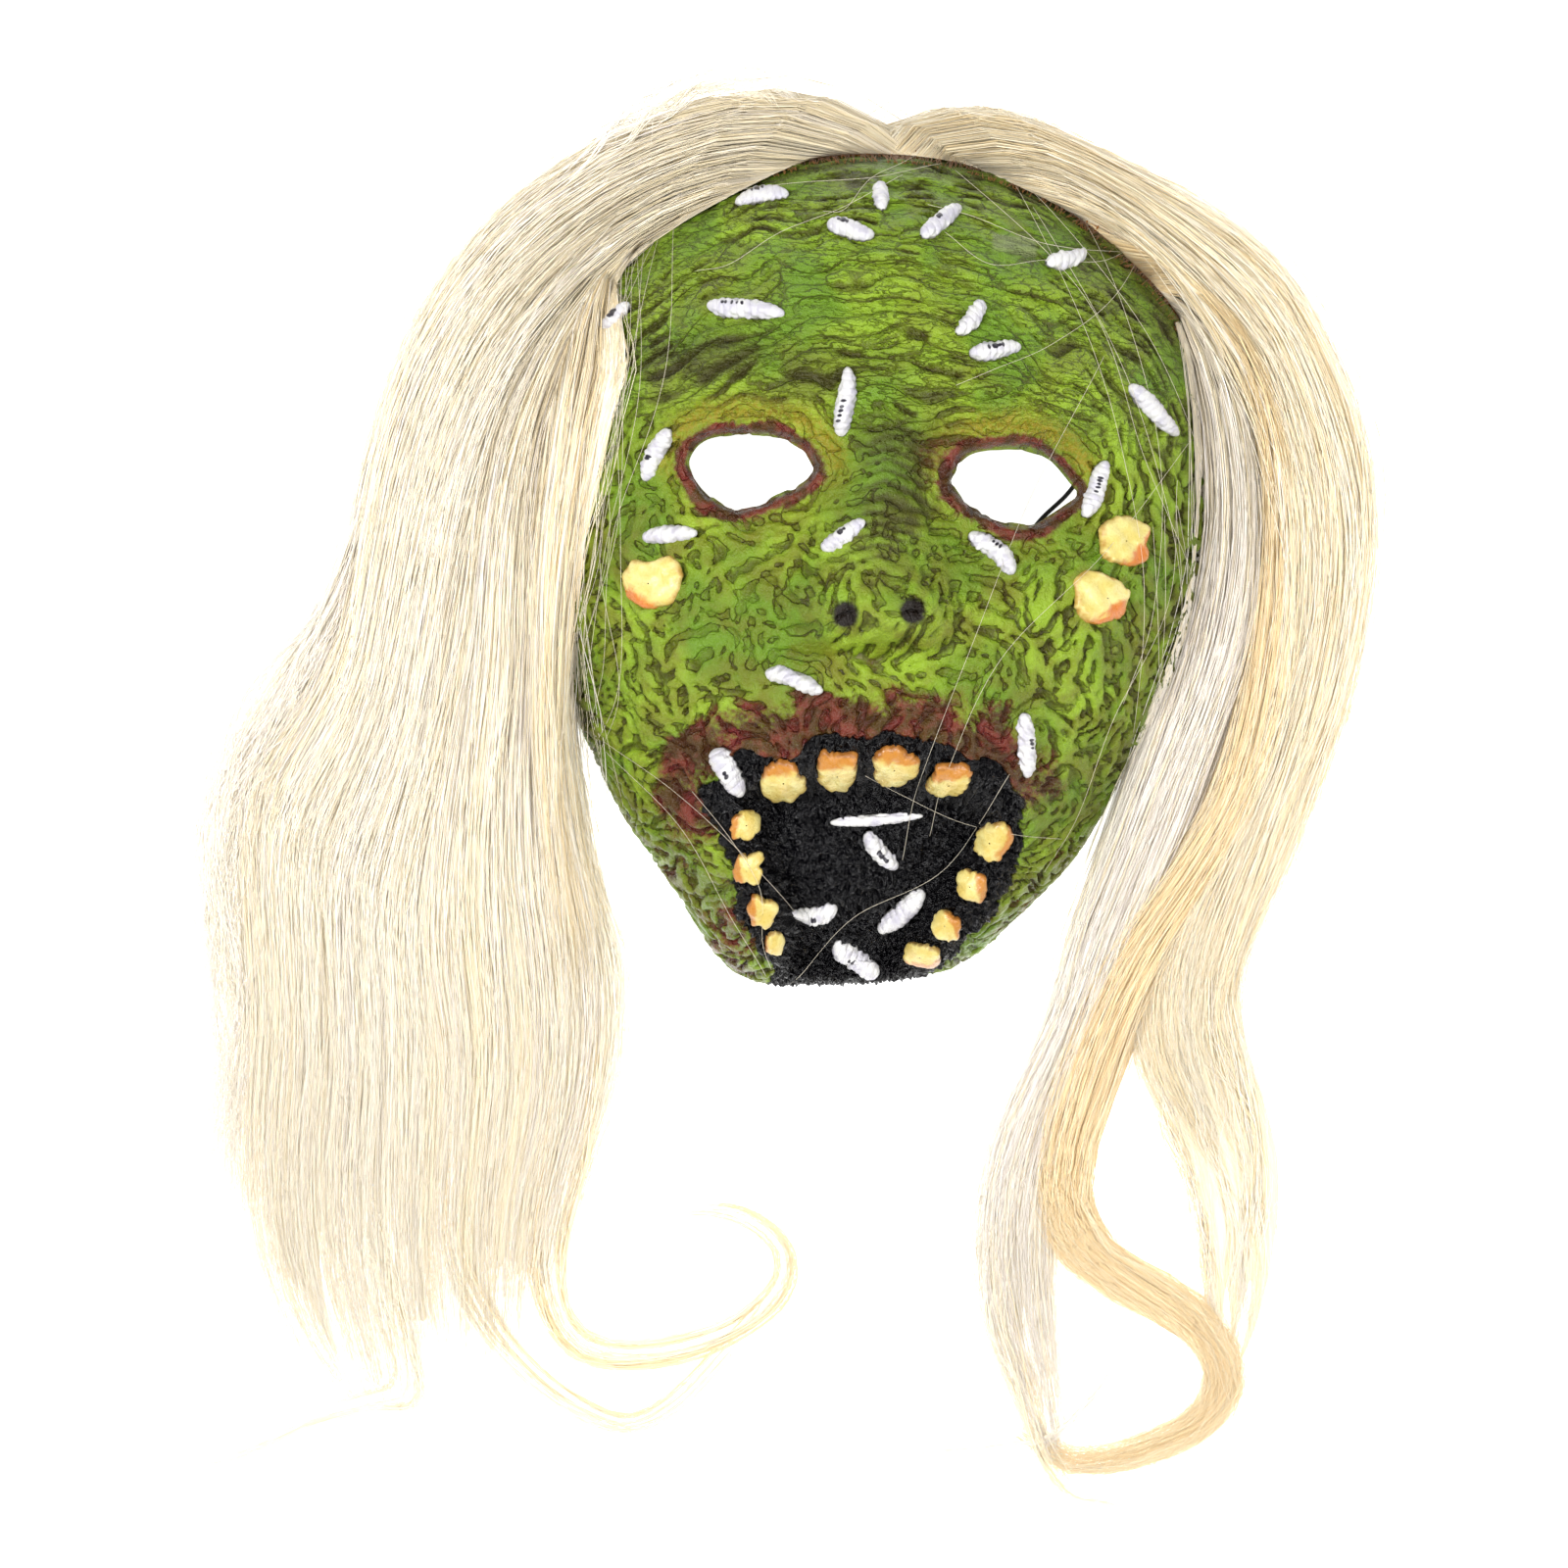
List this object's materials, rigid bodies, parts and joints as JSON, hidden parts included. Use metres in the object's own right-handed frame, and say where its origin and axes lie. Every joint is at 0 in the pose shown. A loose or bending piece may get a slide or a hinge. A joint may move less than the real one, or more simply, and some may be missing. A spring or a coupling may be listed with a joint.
{
  "type": "latex halloween mask",
  "caption": "Green zombie half-face mask of thin latex with maggots, yellow teeth round a black mouth, long blonde hair sewn to the crown and an elastic behind it.",
  "frame": {"origin": "middle of the footprint, on the table that the rim and the hair rest on", "axes": "+Z out of the face, +Y towards the crown, +X to the viewer's right; the mask lies face up"},
  "size_m": [0.301, 0.3684, 0.0814],
  "materials": {
    "latex": "painted latex, semi-gloss, with dark wash in its wrinkles, red eye rims and a gloss black mouth",
    "maggot_paint": "gloss white paint with lilac shade",
    "tooth_paint": "gloss pale yellow paint with orange brown edges",
    "blister_paint": "gloss yellow paint, orange at one side",
    "hair_fibre": "long blonde synthetic fibre, silky",
    "weft_tape": "brown sewn tape",
    "elastic": "black round elastic cord"
  },
  "bodies": {
    "face": {"latex_face": "latex", "maggot_01": "maggot_paint", "maggot_02": "maggot_paint", "maggot_03": "maggot_paint", "maggot_04": "maggot_paint", "maggot_05": "maggot_paint", "maggot_06": "maggot_paint", "maggot_07": "maggot_paint", "maggot_08": "maggot_paint", "maggot_09": "maggot_paint", "maggot_10": "maggot_paint", "maggot_11": "maggot_paint", "maggot_12": "maggot_paint", "maggot_13": "maggot_paint", "maggot_14": "maggot_paint", "maggot_15": "maggot_paint", "maggot_16": "maggot_paint", "maggot_17": "maggot_paint", "maggot_18": "maggot_paint", "maggot_19": "maggot_paint", "maggot_20": "maggot_paint", "maggot_21": "maggot_paint", "maggot_22": "maggot_paint", "maggot_23": "maggot_paint", "maggot_24": "maggot_paint", "tooth_upper_1": "tooth_paint", "tooth_upper_2": "tooth_paint", "tooth_upper_3": "tooth_paint", "tooth_upper_4": "tooth_paint", "tooth_left_1": "tooth_paint", "tooth_left_2": "tooth_paint", "tooth_left_3": "tooth_paint", "tooth_left_4": "tooth_paint", "tooth_right_1": "tooth_paint", "tooth_right_2": "tooth_paint", "tooth_right_3": "tooth_paint", "tooth_right_4": "tooth_paint", "blister_left_cheek": "blister_paint", "blister_right_upper": "blister_paint", "blister_right_lower": "blister_paint", "hair_weft_tape": "weft_tape", "hair_crown_left": "hair_fibre", "hair_crown_right": "hair_fibre", "elastic_knot_left": "elastic", "elastic_knot_right": "elastic"},
    "hair_left": {"hair_left_outer_lock": "hair_fibre", "hair_left_inner_lock": "hair_fibre", "hair_left_curl": "hair_fibre"},
    "hair_right": {"hair_right_outer_lock": "hair_fibre", "hair_right_inner_lock": "hair_fibre"},
    "elastic": {"elastic_cord": "elastic"}
  },
  "joints": [
    {"name": "hair_left_lift", "type": "hinge", "parent": "face", "child": "hair_left", "pos_m": [-0.08702, 0.10381, 0.018], "axis": [-1, 0, 0], "range_deg": [0, 70]},
    {"name": "hair_right_lift", "type": "hinge", "parent": "face", "child": "hair_right", "pos_m": [0.12298, 0.10381, 0.018], "axis": [-1, 0, 0], "range_deg": [0, 70]},
    {"name": "elastic_swing", "type": "hinge", "parent": "face", "child": "elastic", "pos_m": [0.01798, 0.11681, 0.01], "axis": [1, 0, 0], "range_deg": [0, 95]}
  ]
}
